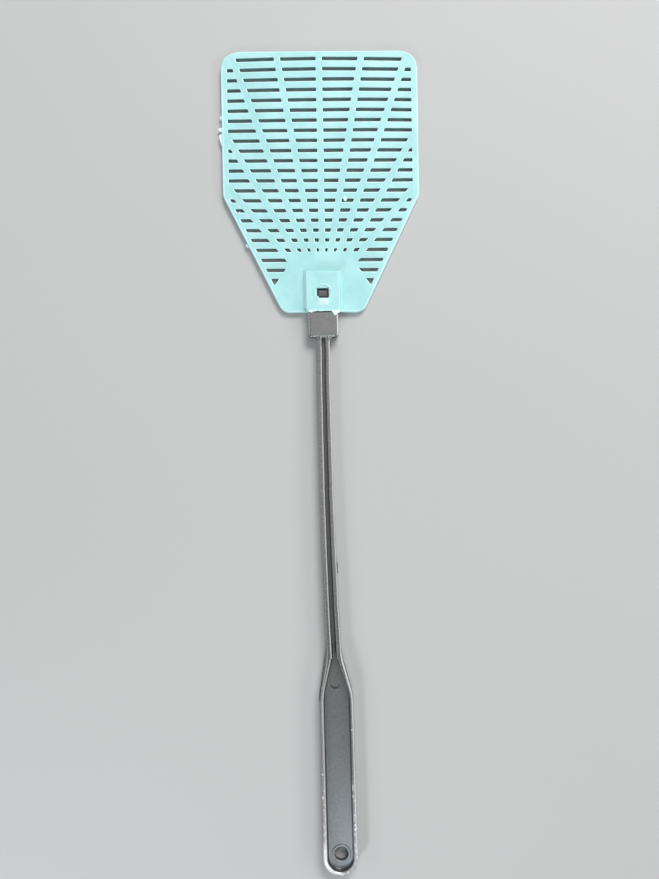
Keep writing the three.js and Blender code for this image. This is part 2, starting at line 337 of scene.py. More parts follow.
def rib_gaps():
    """The openings between neighbouring ribs, from the apron out to the border."""
    inner = head_outline(BORDER, LOW_THINNING)
    apex = Vector((0, RIB_APEX_Y))
    slope = Vector((APRON_TOP[1] - APRON_FOOT[1], APRON_FOOT[0] - APRON_TOP[0])).normalized()
    gaps = []
    for i in range(RIBS_PER_SIDE + 1):
        rib, after = i * RIB_STEP, (i + 1) * RIB_STEP
        outward = Vector((math.cos(rib), -math.sin(rib)))
        inward = Vector((-math.cos(after), math.sin(after)))
        gap = clip(inner, outward, outward.dot(apex) + RIB_WIDTH / 2)
        if i < RIBS_PER_SIDE:
            gap = clip(gap, inward, inward.dot(apex) + RIB_WIDTH / 2)
        if i < RIBS_PER_SIDE - 1:
            gap = clip(gap, Vector((0, 1)), APRON_TOP[1])
        else:
            gap = clip(gap, slope, slope.dot(Vector(APRON_TOP)))
        gaps.append(corners_only(gap))
        gaps.append(corners_only([Vector((-p.x, p.y)) for p in reversed(gap)]))
    return gaps


def softened(polygon):
    """A convex polygon with slightly rounded corners."""
    corners = []
    for i, point in enumerate(polygon):
        sides = (point - polygon[i - 1]).length, (polygon[(i + 1) % len(polygon)] - point).length
        corners.append((point.x, point.y, min(SLOT_CORNER, 0.35 * min(sides))))
    return corners_only(rounded_path(corners, 3))


def area(polygon):
    """The area inside an outline."""
    return abs(sum(polygon[i - 1].cross(p) for i, p in enumerate(polygon))) / 2


def slots():
    """The rows of openings that the bars leave between the ribs, the last with no bar below."""
    openings = []
    for gap in rib_gaps():
        for row in range(BAR_COUNT + 1):
            top = TOP_Y - TOP_BAND - row * SLOT_PITCH
            foot = top - SLOT_HEIGHT if row < BAR_COUNT else MOUTH_Y
            slot = clip(clip(gap, Vector((0, -1)), -top), Vector((0, 1)), foot)
            if len(slot) > 2 and area(slot) > SMALLEST_SLOT:
                openings.append(softened(corners_only(slot)))
    return openings


def window_outline():
    half, low, high = WINDOW_HALF, WINDOW_Y - WINDOW_HALF_LENGTH, WINDOW_Y + WINDOW_HALF_LENGTH
    return corners_only(rounded_path([
        (-half, low, 0.7), (half, low, 0.7), (half, high, 0.7), (-half, high, 0.7),
    ], 6))


def boss():
    """The raised socket with sloped flanks, cut off square at the mouth, one corner torn."""
    lead = 4.0
    outline = box_outline(BOSS_HALF, MOUTH_Y - lead, MOUTH_Y + BOSS_LENGTH)
    flank = BOSS_HALF - BOSS_TOP_HALF
    rise = HEAD_TOP_Z - BOSS_EDGE_R - SHEET_Z
    levels = [(0, 1.0), (0, SHEET_Z - 0.1)]
    levels += [(-flank * k / 4, SHEET_Z + rise * k / 4) for k in range(1, 5)]
    levels += [
        (-flank - BOSS_EDGE_R * (1 - math.cos(a)), HEAD_TOP_Z - BOSS_EDGE_R * (1 - math.sin(a)))
        for a in [math.pi / 2 * k / 5 for k in range(1, 6)]
    ]
    front = box_outline(BOSS_HALF + 2, MOUTH_Y - 2 * lead, MOUTH_Y)
    corner = [(-12, -1), (-7.7, -1), (-7.9, 0.1), (-8.9, 0.9), (-9.8, 2.4), (-12, 3.4)]
    corner = [Vector((x, MOUTH_Y + past)) for x, past in corner]
    return cut(
        loft(outline, levels),
        loft(front, [(0, -1), (0, HEAD_TOP_Z + 1)]),
        loft(corner, [(0.1, SHEET_Z - 0.2), (0, HEAD_TOP_Z - 0.8), (0.7, HEAD_TOP_Z + 0.3)]),
    )


def mouth_edge():
    """The torn front edge of the socket's mouth, as (x, distance in from the mouth)."""
    return [
        (-7.9, 0.0), (-7.3, -0.45), (-6.2, -0.75), (-5.3, -0.3), (-4.4, -0.1), (-3.0, 0.25),
        (-1.7, 0.0), (0.2, 0.1), (2.2, 0.35), (3.8, 0.5), (4.4, 0.35), (5.3, -1.0), (6.2, -2.3),
        (6.8, -2.1), (7.5, -1.2), (8.4, -0.7), (9.5, 0.0),
    ]


def mouth_notch():
    """Cuts the front wall back where its edge is torn away."""
    edge = [Vector((x, MOUTH_Y + max(d, 0.0))) for x, d in mouth_edge()]
    outline = corners_only([Vector((-7.9, MOUTH_Y - 2)), Vector((9.5, MOUTH_Y - 2))] + edge[::-1])
    return loft(outline, [(0, TONGUE_HIGH + 0.2), (0, HEAD_TOP_Z + 1)])


def mouth_flash():
    """The thin burr that hangs over the collar along the mouth."""
    edge = [Vector((x, MOUTH_Y + min(d, 0.1))) for x, d in mouth_edge()]
    outline = corners_only(edge + [Vector((8.9, MOUTH_Y + 0.6)), Vector((-7.6, MOUTH_Y + 0.6))])
    levels = [(-0.08, 0.03), (0, 0.07), (0, 0.12), (-0.2, 0.2)]
    return loft(outline, [(inset, COLLAR_HIGH + above) for inset, above in levels])


def welt(x0, y0, x1, y1, half):
    """A thin raised crease line on the boss."""
    a, b = Vector((x0, MOUTH_Y + y0)), Vector((x1, MOUTH_Y + y1))
    side = Vector((a.y - b.y, b.x - a.x)).normalized() * half
    outline = [a, a.lerp(b, 0.5) - side, b, a.lerp(b, 0.5) + side]
    return loft(outline, [(0, 5.3), (0, HEAD_TOP_Z), (-0.05, HEAD_TOP_Z + 0.1)])


def socket_cutters():
    """The room for the tongue, the catch's way in and the window."""
    cavity = box_outline(TONGUE_HALF + FIT_GAP, MOUTH_Y - 2, MOUTH_Y + TONGUE_LENGTH + FIT_GAP)
    way = box_outline(WINDOW_HALF, MOUTH_Y - 2, WINDOW_Y)
    high = TONGUE_HIGH + FIT_GAP
    return [
        loft(cavity, [(0, TONGUE_LOW - FIT_GAP), (0, high)]),
        loft(way, [(0, high - 0.2), (0, CATCH_TOP + FIT_GAP)]),
        loft(window_outline(), flared(high, HEAD_TOP_Z, 0, 0.3)),
    ]


def lip():
    """The raised ring round the window, fading out below it."""
    ring = loft(circle(LIP_OUTER, 0, WINDOW_Y), round_edges(5.2, LIP_Z, 0, 0.6, 5, drop=0.28))
    inside = flared(HEAD_TOP_Z, LIP_Z, 0, 0.5, 5, drop=0.24)
    return cut(ring, loft(circle(LIP_INNER, 0, WINDOW_Y), inside))


def flash(points, low, high):
    """A small thin burr with the given outline."""
    outline = [Vector(p) for p in points]
    return loft(outline, round_edges(low, high, 0.12, 0.12, 2))


def head_burrs():
    """Thin flash along the left edge, scraps in two slots, the torn mouth and the boss's creases."""
    edge = -HEAD_HALF
    return [
        flash([(edge + 1, 187), (edge + 1, 184), (edge - 0.5, 184.6), (edge - 0.8, 185.9)], 0.3, 1.5),
        flash([(edge + 1, 180.4), (edge + 1, 177.4), (edge - 1.4, 178.3), (edge - 1.7, 179.3)], 0.2, 1.7),
        flash([(edge + 1, 177.2), (edge + 1, 169.0), (edge - 0.3, 170.6), (edge - 1.1, 173.8),
               (edge - 1.3, 176.0)], 0.2, 1.7),
        flash([(edge + 8.9, 135), (edge + 6.2, 131.4), (edge + 7.3, 129.6), (edge + 9.4, 131)], 0.2, 1.2),
        flash([(-38.9, 117.5), (-38.4, 114.9), (-40.1, 115.1), (-40.9, 116.1)], 0.3, 1.6),
        flash([(12, 141.6), (13.8, 141.6), (13.4, 139.9), (12.5, 139.8)], 0.9, 1.9),
        mouth_flash(),
        welt(-2.6, 6.4, 3.4, 2.0, 0.22),
        welt(-2.0, 5.4, 2.2, 2.7, 0.16),
        flash([(-3.5, WINDOW_Y - 3.0), (-1.9, WINDOW_Y - 2.8), (-2.3, WINDOW_Y - 1.9),
               (-3.0, WINDOW_Y - 1.6)], 5.0, 5.62),
    ]


def clamped(value):
    return min(max(value, 0), 1)


def head_wobble(x, y, z):
    """The slight unevenness of a thin soft moulding, none of it near the stiff socket."""
    drift = noise.noise_vector(Vector((x / DRIFT_SPAN, y / DRIFT_SPAN, 0.7)))
    ripple = noise.noise_vector(Vector((x / RIPPLE_SPAN, y / RIPPLE_SPAN, 4.2)))
    bow = ROW_BOW * math.sin(math.pi * clamped((TOP_Y - TOP_BAND - y) / ROW_BOW_LENGTH))
    sag = SAG * clamped((y - SAG_START_Y) / SAG_RAMP) * (x / SAG_HALF) ** 2
    loose = clamped((y - MOUTH_Y - STIFF_LENGTH) / STIFF_RAMP)
    dx = loose * (DRIFT * drift.x + RIPPLE_X * ripple.x)
    dy = loose * (DRIFT * drift.y + RIPPLE_Y * ripple.y) - ROW_TILT * x - sag - bow
    return (x + dx, y + dy, z)


def head_mesh():
    """The sheet with its slots and beaded border, the boss, the lip and the burrs."""
    bead = [(-0.75, SHEET_Z + 0.1), (-1.25, SHEET_Z)]
    sheet = loft(head_outline(0), round_edges(0, SHEET_Z + 0.12, 0.5, 0.6) + bead)
    openings = together([loft(slot, flared(0, SHEET_Z, 0.3, 0.65, 5, drop=0.35)) for slot in slots()])
    body = joined(cut(sheet, openings), boss(), lip())
    body = cut(body, mouth_notch(), *socket_cutters())
    body = joined(body, *head_burrs())
    return moved(body, head_wobble)


# ---------------------------------------------------------------- handle

def tongue():
    """The flat blade that goes into the socket."""
    tip = MOUTH_Y + TONGUE_LENGTH
    outline = mirrored([
        Vector((TONGUE_HALF - 1.5, tip)),
        Vector((TONGUE_HALF, tip - 1.5)),
        Vector((TONGUE_HALF, COLLAR_TOP_Y - 1)),
    ])
    return loft(outline, round_edges(TONGUE_LOW, TONGUE_HIGH, 0.3, 0.3))


def window_catch():
    """The block on the tongue that shows in the window, ramped at its far side."""
    low, high = WINDOW_Y - CATCH_HALF_LENGTH, WINDOW_Y + CATCH_HALF_LENGTH
    outline = box_outline(CATCH_HALF, low, high)
    block = loft(outline, round_edges(TONGUE_LOW + 1, CATCH_TOP, 0, 0.3))
    ramp = skin([
        [(x, high + 1, TONGUE_HIGH - 0.6), (x, high + 1, 8), (x, high - CATCH_RAMP, 8),
         (x, high - CATCH_RAMP, CATCH_TOP)]
        for x in (-9, 9)
    ])
    return cut(block, ramp)


def collar():
    """The block that stops against the socket, bevelled on top and square at its front."""
    hidden = COLLAR_TOP_Y + 2
    outline = mirrored(rounded_path([
        (0, hidden, 0),
        (COLLAR_HALF, hidden, 0),
        (COLLAR_HALF, COLLAR_FOOT_Y, COLLAR_CORNER),
        (0, COLLAR_FOOT_Y, 0),
    ]))
    bevel = [(0, -0.8), (-0.06, -0.6), (-0.16, -0.47), (-0.8, -0.1), (-0.95, -0.03), (-1.15, 0)]
    sides = round_edges(COLLAR_LOW, COLLAR_HIGH, 0.8, 0)[:-1]
    body = loft(outline, sides + [(inset, COLLAR_HIGH + fall) for inset, fall in bevel])
    beyond = box_outline(COLLAR_HALF + 1, COLLAR_TOP_Y - 0.05, hidden + 1)
    return cut(body, loft(beyond, [(0, -1), (0, COLLAR_HIGH + 1)]))


def stem_section():
    """The H section at the flare, as (x, z)."""
    return mirrored(rounded_path([
        (0, WEB_HIGH, 0),
        (STEM_CHANNEL, WEB_HIGH, 0.8),
        (STEM_CHANNEL, GRIP_TOP_Z - 0.6, 0.2),
        (STEM_CHANNEL + 0.75, GRIP_TOP_Z, 0.2),
        (STEM_HALF - 0.85, GRIP_TOP_Z, 0.2),
        (STEM_HALF, GRIP_TOP_Z - 0.65, 0.3),
        (STEM_HALF, 0, 0.9),
        (STEM_CHANNEL, 0, 0.8),
        (STEM_CHANNEL, WEB_LOW, 0.35),
        (0, WEB_LOW, 0),
    ], 6))


def stem():
    """The section swept from the flare to the collar, shrinking, with a slight sway."""
    section = stem_section()
    start, end = COLLAR_FOOT_Y + 1, FLARE_TOP_Y - 1
    loops = []
    for k in range(STEM_STATIONS + 1):
        share = 1 - k / STEM_STATIONS
        y = end + (start - end) * share
        across = 1 + (STEM_START_SCALE - 1) * share
        tall = 1 + (STEM_START_HEIGHT - 1) * share
        wave = noise.noise(Vector((0.3, y / STEM_SWAY_SPAN, 0)))
        sway = STEM_SWAY * wave * min(1, 8 * share * (1 - share))
        loops.append([
            (p.x * across + sway, y, p.y * tall + STEM_START_LOW * share) for p in section
        ])
    return skin(loops)


def neck():
    """Gussets that widen the stem where it meets the collar."""
    half = STEM_HALF * STEM_START_SCALE
    top = GRIP_TOP_Z * STEM_START_HEIGHT + STEM_START_LOW
    outline = mirrored(rounded_path([
        (NECK_HALF, COLLAR_FOOT_Y + 1, 0),
        (NECK_HALF, COLLAR_FOOT_Y, 0),
        (half, COLLAR_FOOT_Y - NECK_LENGTH / 3, NECK_LENGTH / 4),
        (half - 0.1, COLLAR_FOOT_Y - NECK_LENGTH, 0),
    ], 8))
    body = loft(outline, round_edges(COLLAR_LOW, top - 0.15, 0.5, 0.7))
    low, high = COLLAR_FOOT_Y - NECK_LENGTH - 1, COLLAR_FOOT_Y - 0.4
    channel = box_outline(STEM_CHANNEL * STEM_START_SCALE, low, high)
    return cut(body, loft(channel, [(0, -1), (0, GRIP_TOP_Z)]))


def grip_outline(start_half, top_half, end_half, start_y):
    """The flare and grip in plan, or the pocket inside the rim."""
    centre_y = GRIP_END_Y + GRIP_END_HALF
    side = rounded_path([
        (start_half, start_y, 0),
        (start_half, FLARE_TOP_Y, FLARE_BEND),
        (top_half, FLARE_FOOT_Y, FLARE_BEND),
        (end_half, centre_y, 0),
    ])
    turns = [math.pi / 2 * k / 18 for k in range(1, 19)]
    arc = [Vector((end_half * math.cos(a), centre_y - end_half * math.sin(a))) for a in turns]
    arc[-1].x = 0
    return mirrored(side + arc)


def gate_mark():
    """Cuts the crescent at the top of the grip's web."""
    x, y = CRESCENT
    depth = [(0, WEB_HIGH - 0.4), (0, GRIP_TOP_Z + 1)]
    inner = loft(circle(CRESCENT_R + 0.1, x, y + 1.25), [(0, 0), (0, GRIP_TOP_Z + 3)])
    return bent(cut(loft(circle(CRESCENT_R, x, y), depth), inner))


def grip():
    """The grip with its sloped rim, both pockets, the ringed hanging hole and the gate mark."""
    start = FLARE_TOP_Y + FLARE_BEND + 2
    outline = grip_outline(STEM_HALF, GRIP_TOP_HALF, GRIP_END_HALF, start)
    rim = [(0, -0.95), (-0.06, -0.72), (-0.16, -0.6), (-0.8, -0.14), (-1.0, -0.04), (-1.15, 0)]
    sides = round_edges(0, GRIP_TOP_Z, 0.8, 0)[:-1]
    body = bent(loft(outline, sides + [(inset, GRIP_TOP_Z + fall) for inset, fall in rim]))
    pocket = grip_outline(STEM_CHANNEL, POCKET_HALF, POCKET_HALF, start + 4)
    fillet = [(-0.95, 0), (-0.8, 0.03), (-0.66, 0.14), (-0.55, 0.35)]
    brim = [(0, -0.85), (0.05, -0.65), (0.14, -0.53), (0.6, -0.16), (0.75, -0.05), (0.85, 0), (0.85, 1)]
    front = [(inset, WEB_HIGH + rise) for inset, rise in fillet]
    front += [(outset, GRIP_TOP_Z + fall) for outset, fall in brim]
    back = [(0.6, -1)] + flared(0, WEB_LOW, 0.6, 0)[1:-1] + [(0, WEB_LOW)]
    hollowed = cut(body, bent(loft(pocket, front)), bent(loft(pocket, back)))
    ring = bent(loft(circle(RING_R, HOLE_X, HOLE_Y), round_edges(WEB_LOW + 0.3, RING_Z, 0, 0.3)))
    hole = bent(loft(circle(HOLE_R, HOLE_X, HOLE_Y), flared(WEB_LOW, RING_Z, 0.2, 0.25)))
    return cut(joined(hollowed, ring), hole, gate_mark())


def handle_burrs():
    """Thin flash along the parting line."""
    left = [(-4.0, FLARE_TOP_Y + 4), (-4.4, FLARE_TOP_Y + 3.6), (-9.35, FLARE_FOOT_Y - 1.2),
            (-9.3, FLARE_FOOT_Y - 4), (-8.6, FLARE_FOOT_Y - 4), (-8.6, FLARE_FOOT_Y - 1)]
    nub = [(3.4, -53.5), (3.4, -60.5), (4.25, -59.6), (4.1, -57.4), (4.45, -55.6), (4.1, -54.2)]
    return [bent(flash(left, 2.6, 3.1)), bent(flash(nub, 2.3, 3.0))]


def bend_at(y):
    """How far right the handle's centre line stands at y."""
    for (y0, x0), (y1, x1) in zip(BEND, BEND[1:]):
        if y >= y1:
            return x0 + (x1 - x0) * max(y0 - y, 0) / (y0 - y1)
    return BEND[-1][1]


def bent(mesh):
    """The mesh pushed sideways along the handle's bend."""
    return moved(mesh, lambda x, y, z: (x + bend_at(y), y, z))


def handle_mesh():
    """The straight parts first, then everything that follows the bend."""
    lower = joined(bent(stem()), bent(neck()), grip(), *handle_burrs())
    return joined(tongue(), window_catch(), collar(), lower)


# ---------------------------------------------------------------- materials

TURQUOISE, TURQUOISE_LIGHT = (0.35, 0.655, 0.655, 1), (0.40, 0.71, 0.71, 1)
FLOW_STREAK = (0.45, 0.73, 0.74, 1)
RIB_TONE = (0.31, 0.60, 0.60, 1)
# SHADED_WALL is painted shade on the boss's flank that faces the far end.
SHADED_WALL = (0.22, 0.46, 0.46, 1)
# EDGE_HIGHLIGHT is a painted highlight on turned edges and painted light on the boss's left flank.
EDGE_HIGHLIGHT = (0.68, 0.93, 0.94, 1)
# SLOT_SHADE is painted shade low in the slots.
SLOT_SHADE = (0.07, 0.20, 0.21, 1)
WHITENED = (0.78, 0.93, 0.93, 1)

BLACK, BLACK_LIGHT = (0.055, 0.055, 0.053, 1), (0.068, 0.068, 0.066, 1)
SPECK = (0.11, 0.11, 0.106, 1)
# END_REFLECTION is a painted bluish reflection on the grip's web.
END_REFLECTION = (0.135, 0.155, 0.175, 1)
# CREST_SHEEN is painted sheen on crests; HIGHLIGHT_LEFT and HIGHLIGHT_RIGHT are painted highlights on
# slopes.
CREST_SHEEN = (0.12, 0.12, 0.118, 1)
HIGHLIGHT_LEFT, HIGHLIGHT_RIGHT = (0.25, 0.25, 0.245, 1), (0.46, 0.46, 0.45, 1)
# CHANNEL_SHADE is painted shade in recesses and gaps.
CHANNEL_SHADE = (0.012, 0.012, 0.012, 1)
# WALL_SHADE is painted shade on steep walls.
WALL_SHADE = (0.012, 0.012, 0.013, 1)
# SCRAPE_AND_HIGHLIGHT is pale scuffs and nicks, and a painted highlight at the grip's end.
SCRAPE_AND_HIGHLIGHT = (0.80, 0.81, 0.82, 1)

PAPER, PAPER_LIGHT = (0.47, 0.47, 0.465, 1), (0.50, 0.50, 0.495, 1)

# Towards the grip's end: the painted bluish reflection and the wear grow from the first place along Y to
# the second.
SHEEN_AND_WEAR_FROM, SHEEN_AND_WEAR_TO = -150, -205

# Scraped spots on the grip's rim: x, y, size in millimetres, and how short they are along Y.
NICKS = [
    (-4.8, -165.7, 0.55, 0.9),
    (-4.8, -177.9, 0.6, 0.6),
    (11.0, -142.3, 0.45, 0.8),
    (11.0, -173.0, 0.6, 0.25),
    (11.1, -177.6, 0.6, 0.5),
    (11.8, -187.2, 0.45, 0.9),
    (12.1, -192.6, 0.55, 0.9),
    (10.9, -194.0, 0.55, 0.9),
    (12.0, -194.9, 0.6, 0.9),
]


class Nodes:
    """A short way to write a node tree. Places are in the object's own axes."""

    def __init__(self, name):
        self.material = bpy.data.materials.new(name)
        self.material.use_nodes = True
        self.tree = self.material.node_tree
        self.shader = self.tree.nodes["Principled BSDF"]
        self.coordinates = self.tree.nodes.new("ShaderNodeTexCoord").outputs

    def put(self, socket, value):
        if isinstance(value, bpy.types.NodeSocket):
            self.tree.links.new(value, socket)
        else:
            socket.default_value = value

    def mapped(self, location, scale):
        node = self.tree.nodes.new("ShaderNodeMapping")
        self.put(node.inputs["Vector"], self.coordinates["Object"])
        node.inputs["Location"].default_value = location
        node.inputs["Scale"].default_value = scale
        return node.outputs[0]

    def noise(self, scale, detail=3.0, roughness=0.5, stretch=(1, 1, 1)):
        node = self.tree.nodes.new("ShaderNodeTexNoise")
        self.put(node.inputs["Vector"], self.mapped((0, 0, 0), stretch))
        node.inputs["Scale"].default_value = scale
        node.inputs["Detail"].default_value = detail
        node.inputs["Roughness"].default_value = roughness
        return node.outputs["Fac"]

    def span(self, value, low, high, to_low=0.0, to_high=1.0):
        """A smooth step from to_low at low to to_high at high."""
        node = self.tree.nodes.new("ShaderNodeMapRange")
        node.interpolation_type = "SMOOTHSTEP"
        self.put(node.inputs["Value"], value)
        node.inputs["From Min"].default_value = low
        node.inputs["From Max"].default_value = high
        node.inputs["To Min"].default_value = to_low
        node.inputs["To Max"].default_value = to_high
        return node.outputs["Result"]

    def maths(self, operation, a, b=0.0):
        node = self.tree.nodes.new("ShaderNodeMath")
        node.operation = operation
        self.put(node.inputs[0], a)
        self.put(node.inputs[1], b)
        return node.outputs[0]

    def times(self, first, *others):
        for other in others:
            first = self.maths("MULTIPLY", first, other)
        return first

    def most(self, first, *others):
        """The largest of several values."""
        for other in others:
            first = self.maths("MAXIMUM", first, other)
        return first

    def part(self, vector, name):
        node = self.tree.nodes.new("ShaderNodeSeparateXYZ")
        self.put(node.inputs[0], vector)
        return node.outputs[name]

    def axis(self, name):
        """One coordinate, in metres."""
        return self.part(self.coordinates["Object"], name)

    def facing(self, name):
        """One part of the surface's own direction."""
        return self.part(self.coordinates["Normal"], name)

    def along(self, name, low, high, to_low=0.0, to_high=1.0):
        """A smooth step along an axis, between places in millimetres."""
        return self.span(self.axis(name), low * MM, high * MM, to_low, to_high)

    def near(self, place, inner, outer, squash=(1, 1, 1)):
        """1 within inner millimetres of a place, falling to 0 at outer."""
        location = [-v * MM * s for v, s in zip(place, squash)]
        length = self.tree.nodes.new("ShaderNodeVectorMath")
        length.operation = "LENGTH"
        self.put(length.inputs[0], self.mapped(location, squash))
        return self.span(length.outputs["Value"], inner * MM, outer * MM, 1.0, 0.0)

    def blend(self, factor, a, b):
        node = self.tree.nodes.new("ShaderNodeMix")
        node.data_type = "RGBA"
        self.put(node.inputs["Factor"], factor)
        self.put(node.inputs["A"], a)
        self.put(node.inputs["B"], b)
        return node.outputs["Result"]

    def bump(self, height, distance, strength=1.0, onto=None):
        node = self.tree.nodes.new("ShaderNodeBump")
        node.inputs["Strength"].default_value = strength
        node.inputs["Distance"].default_value = distance
        self.put(node.inputs["Height"], height)
        if onto is not None:
            self.put(node.inputs["Normal"], onto)
        return node.outputs["Normal"]


def edge_distance(m):
    """How far a point lies outside the head's edge, in metres, negative inside."""
    slope = (HEAD_HALF - MOUTH_HALF) / SHOULDER
    slant = math.hypot(1, slope)
    side, along = m.maths("ABSOLUTE", m.axis("X")), m.axis("Y")
    flank = m.maths("SUBTRACT", side, HEAD_HALF * MM)
    far = m.maths("SUBTRACT", along, TOP_Y * MM)
    near = m.maths("SUBTRACT", MOUTH_Y * MM, along)
    tilted = m.maths("SUBTRACT", side, m.times(along, slope))
    foot = (MOUTH_HALF - slope * MOUTH_Y) * MM
    oblique = m.times(m.maths("SUBTRACT", tilted, foot), 1 / slant)
    return m.most(flank, oblique, far, near)


def rib_band(m):
    """1 on the ribs of the fan, 0 on the bars, the border and the apron."""
    across = m.axis("X")
    along = m.maths("SUBTRACT", m.axis("Y"), (RIB_APEX_Y - 0.4) * MM)
    share = m.maths("DIVIDE", m.maths("ARCTAN2", across, along), RIB_STEP)
    turn = m.times(m.maths("SUBTRACT", share, m.maths("ROUND", share)), RIB_STEP)
    squares = m.maths("ADD", m.times(across, across), m.times(along, along))
    distance = m.maths("ABSOLUTE", m.times(m.maths("SQRT", squares), m.maths("SINE", turn)))
    band = m.span(distance, (RIB_WIDTH / 2 + 0.15) * MM, (RIB_WIDTH / 2 - 0.3) * MM)
    fan = m.span(m.maths("ABSOLUTE", share), RIBS_PER_SIDE + 0.45, RIBS_PER_SIDE + 0.4)
    above_apron = m.along("Y", APRON_TOP[1], APRON_TOP[1] + 1)
    inside = m.span(edge_distance(m), -BORDER * MM, -(BORDER + 0.6) * MM)
    return m.times(band, fan, above_apron, inside)


def clouded_turquoise(m, ribs):
    """The head's plain colour, with slow clouds, flow streaks and the ribs' deeper tone."""
    clouds = m.span(m.noise(70, 3, 0.6), 0.38, 0.62)
    streaks = m.span(m.noise(60, 4, 0.6, (1.0, 0.25, 1.0)), 0.45, 0.75, 0.0, 0.35)
    patches = m.span(m.noise(900, 4, 0.7), 0.35, 0.65, 0.35, 1.0)
    colour = m.blend(streaks, m.blend(clouds, TURQUOISE, TURQUOISE_LIGHT), FLOW_STREAK)
    return m.blend(m.times(ribs, patches, 0.45), colour, RIB_TONE)


def edge_highlights(m):
    """Painted highlight where the edges turn away, on the outer edge and slot edges; painted light on the
    boss's left flank.
    """
    outer = m.span(edge_distance(m), -1.3 * MM, -0.6 * MM, 0.0, 0.35)
    upward = m.facing("Z")
    turned = m.times(m.span(upward, 0.999, 0.93, 0.0, 0.85), m.span(upward, 0.1, 0.7, 0.6, 1.0))
    on_sheet = m.along("Z", SHEET_Z + 0.1, SHEET_Z + 0.5, 1.0, 0.15)
    # Painted light on the boss's left-facing flank, which lies in shade.
    painted_left_light = m.times(m.span(m.facing("X"), -0.3, -0.7, 0.0, 0.8), boss_flanks(m))
    return m.most(outer, m.times(turned, on_sheet), painted_left_light)


def boss_flanks(m):
    """1 between the sheet and the boss's top."""
    return m.times(
        m.along("Z", SHEET_Z + 0.1, SHEET_Z + 0.5),
        m.along("Z", HEAD_TOP_Z, HEAD_TOP_Z - 0.4),
    )


def slot_shade(m):
    """Painted shade low on the walls of the slots."""
    wall = m.span(m.facing("Z"), 0.55, 0.2)
    inside = m.span(edge_distance(m), -2.8 * MM, -3.2 * MM)
    above_window = m.along("Y", MOUTH_Y + 13, MOUTH_Y + 14)
    return m.times(wall, inside, above_window, m.along("Z", SHEET_Z, SHEET_Z - 0.4, 0.0, 0.8))


def whitened(m):
    """The strained patch below the window, the torn mouth, the flash on the left and the scrap."""
    strained = m.near((0.7, WINDOW_Y - 4.3, HEAD_TOP_Z), 1.0, 4.2, (1.0, 1.4, 1.0))
    torn = m.times(strained, m.span(m.noise(1100, 4, 0.7), 0.36, 0.52, 0.0, 0.9))
    past_mouth = m.along("Y", MOUTH_Y + 0.5, MOUTH_Y - 0.1)
    raised = m.times(past_mouth, m.along("Z", HEAD_TOP_Z - 0.5, HEAD_TOP_Z - 0.1, 0.0, 0.9))
    left_flash = m.along("X", -HEAD_HALF, -HEAD_HALF - 0.3, 0.0, 0.8)
    return m.most(torn, raised, left_flash, m.near(SCRAP, 1.0, 1.4))


def head_plastic():
    m = Nodes("turquoise_plastic")
    ribs = rib_band(m)
    # Painted shade on the boss's far flank, painted highlights on the edges and painted shade low in the
    # slots.
    shaded_far_flank = m.times(m.span(m.facing("Y"), 0.3, 0.7, 0.0, 0.75), boss_flanks(m))
    colour = m.blend(shaded_far_flank, clouded_turquoise(m, ribs), SHADED_WALL)
    colour = m.blend(edge_highlights(m), colour, EDGE_HIGHLIGHT)
    colour = m.blend(slot_shade(m), colour, SLOT_SHADE)
    m.put(m.shader.inputs["Base Color"], m.blend(whitened(m), colour, WHITENED))
    m.put(m.shader.inputs["Roughness"], m.span(m.noise(140, 4, 0.6), 0.3, 0.7, 0.36, 0.54))
    m.shader.inputs["IOR"].default_value = 1.5
    m.shader.inputs["Subsurface Weight"].default_value = 0.15
    m.shader.inputs["Subsurface Radius"].default_value = (0.6, 1.0, 1.0)
    m.shader.inputs["Subsurface Scale"].default_value = 0.0015
    grain = m.bump(m.noise(1500, 3, 0.6), 0.03 * MM, 0.6)
    uneven = m.bump(m.noise(120, 3, 0.5), 0.18 * MM, 0.7, grain)
    m.put(m.shader.inputs["Normal"], m.bump(m.maths("SUBTRACT", 1.0, ribs), 0.06 * MM, 1.0, uneven))
    return m.material


def clouded_black(m):
    """The handle's plain colour, with clouds, fine specks and a painted bluish reflection towards the
    grip's end.
    """
    clouds = m.span(m.noise(45, 4, 0.6, (1, 0.3, 1)), 0.35, 0.7)
    specks = m.span(m.noise(650, 4, 0.7), 0.35, 0.65, 0.0, 0.8)
    # Painted bluish reflection on the grip's web towards its end.
    end_reflection = m.times(m.along("Y", SHEEN_AND_WEAR_FROM, SHEEN_AND_WEAR_TO), m.along("X", -1, 9), 0.7)
    colour = m.blend(specks, m.blend(clouds, BLACK, BLACK_LIGHT), SPECK)
    return m.blend(end_reflection, colour, END_REFLECTION)


def sheen_and_highlight_slopes(m, colour, crest):
    """The crests of the ribs and the rim painted lighter as sheen, with a painted highlight on their
    slopes, stronger on slopes facing right.
    """
    # Painted sheen on the crests.
    colour = m.blend(m.times(crest, 0.3), colour, CREST_SHEEN)
    # Painted highlight on the slopes, brighter on those facing right and weaker on those facing the near
    # end.
    less_facing_near_end = m.span(m.facing("Y"), -0.45, -0.2, 0.2, 0.8)
    slopes = m.times(m.span(m.facing("Z"), 0.97, 0.85), crest, less_facing_near_end)
    return m.blend(slopes, colour, m.blend(m.span(m.facing("X"), -0.4, 0.4), HIGHLIGHT_LEFT, HIGHLIGHT_RIGHT))


